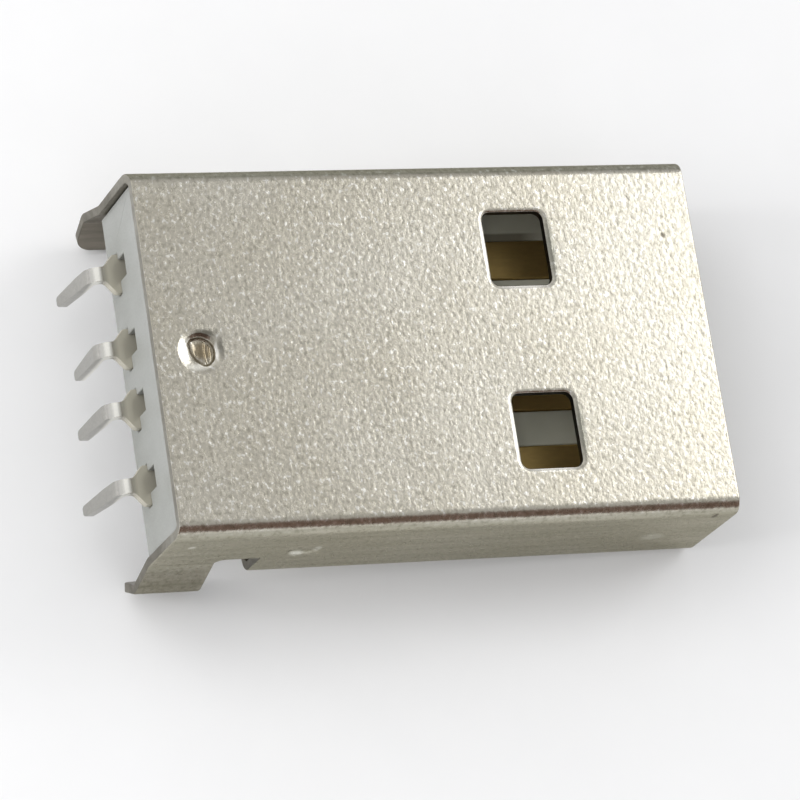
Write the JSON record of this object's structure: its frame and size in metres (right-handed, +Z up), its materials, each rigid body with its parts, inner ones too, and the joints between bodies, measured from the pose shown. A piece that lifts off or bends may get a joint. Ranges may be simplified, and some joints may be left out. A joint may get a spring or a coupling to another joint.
{
  "type": "usb-a plug",
  "caption": "Right-angle board-mount plug: folded metal shell with latch windows and kinked solder legs, moulded tongue, stamped contacts with bent solder tails.",
  "frame": {"origin": "on the board plane, at the middle of the shell's flat underside", "axes": "+X out of the mating end, +Y to the power contact's side, +Z up from the board"},
  "size_m": [0.0202, 0.0128, 0.0062],
  "materials": {
    "shell_nickel": "matt nickel plate on steel strip, fine grain, smooth round the folds",
    "insulator_white": "natural white moulding, slightly satin",
    "contact_plating": "tin on the solder tails, thin gold on the contact area"
  },
  "bodies": {
    "root": {"shell": "shell_nickel", "insulator": "insulator_white", "contact_vbus": "contact_plating", "contact_d_minus": "contact_plating", "contact_d_plus": "contact_plating", "contact_gnd": "contact_plating"}
  },
  "joints": []
}
